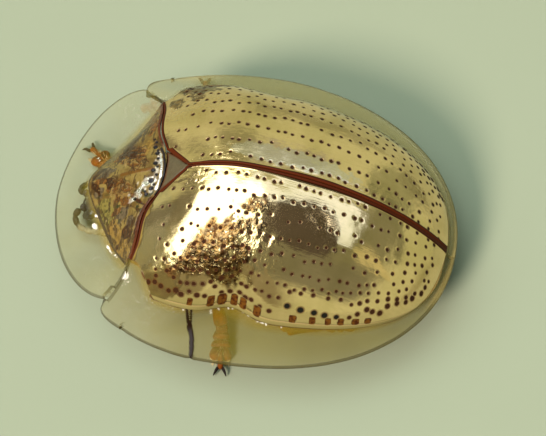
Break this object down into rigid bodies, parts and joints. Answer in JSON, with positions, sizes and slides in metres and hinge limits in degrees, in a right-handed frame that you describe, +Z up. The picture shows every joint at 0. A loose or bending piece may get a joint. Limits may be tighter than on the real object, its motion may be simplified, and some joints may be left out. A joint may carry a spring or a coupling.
{
  "type": "tortoise beetle figure",
  "caption": "Life-size golden tortoise beetle: a domed gold shell in a clear flat margin, a clear shield over the head, and short jointed legs spread beneath it. A still model.",
  "frame": {"origin": "on the floor, under the middle of the whole insect's outline", "axes": "+Z up, +Y to the rear of the insect, which looks along -Y, +X to the insect's left side"},
  "size_m": [0.0054, 0.0064, 0.0023],
  "materials": {
    "gold_cuticle": "polished gold-green cuticle with rows of dark pits",
    "amber_cuticle": "glossy amber cuticle, mottled brown",
    "clear_cuticle": "clear, faintly olive cuticle with a fine dark rim",
    "leg_cuticle": "satin orange-brown cuticle",
    "dark_cuticle": "satin dark brown cuticle",
    "eye_black": "glossy black"
  },
  "bodies": {
    "root": {"head": "amber_cuticle", "eye_left": "eye_black", "eye_right": "eye_black", "antenna_left": "leg_cuticle", "antenna_right": "leg_cuticle", "pronotum": "amber_cuticle", "pronotum_margin": "clear_cuticle", "prothorax": "dark_cuticle", "scutellum": "amber_cuticle", "elytron_left": "gold_cuticle", "elytron_right": "gold_cuticle", "elytron_margin_left": "clear_cuticle", "elytron_margin_right": "clear_cuticle", "thorax": "dark_cuticle", "abdomen": "dark_cuticle", "leg_front_left": "leg_cuticle", "leg_front_right": "leg_cuticle", "leg_middle_left": "leg_cuticle", "leg_middle_right": "leg_cuticle", "leg_hind_left": "leg_cuticle", "leg_hind_right": "leg_cuticle"}
  },
  "joints": []
}
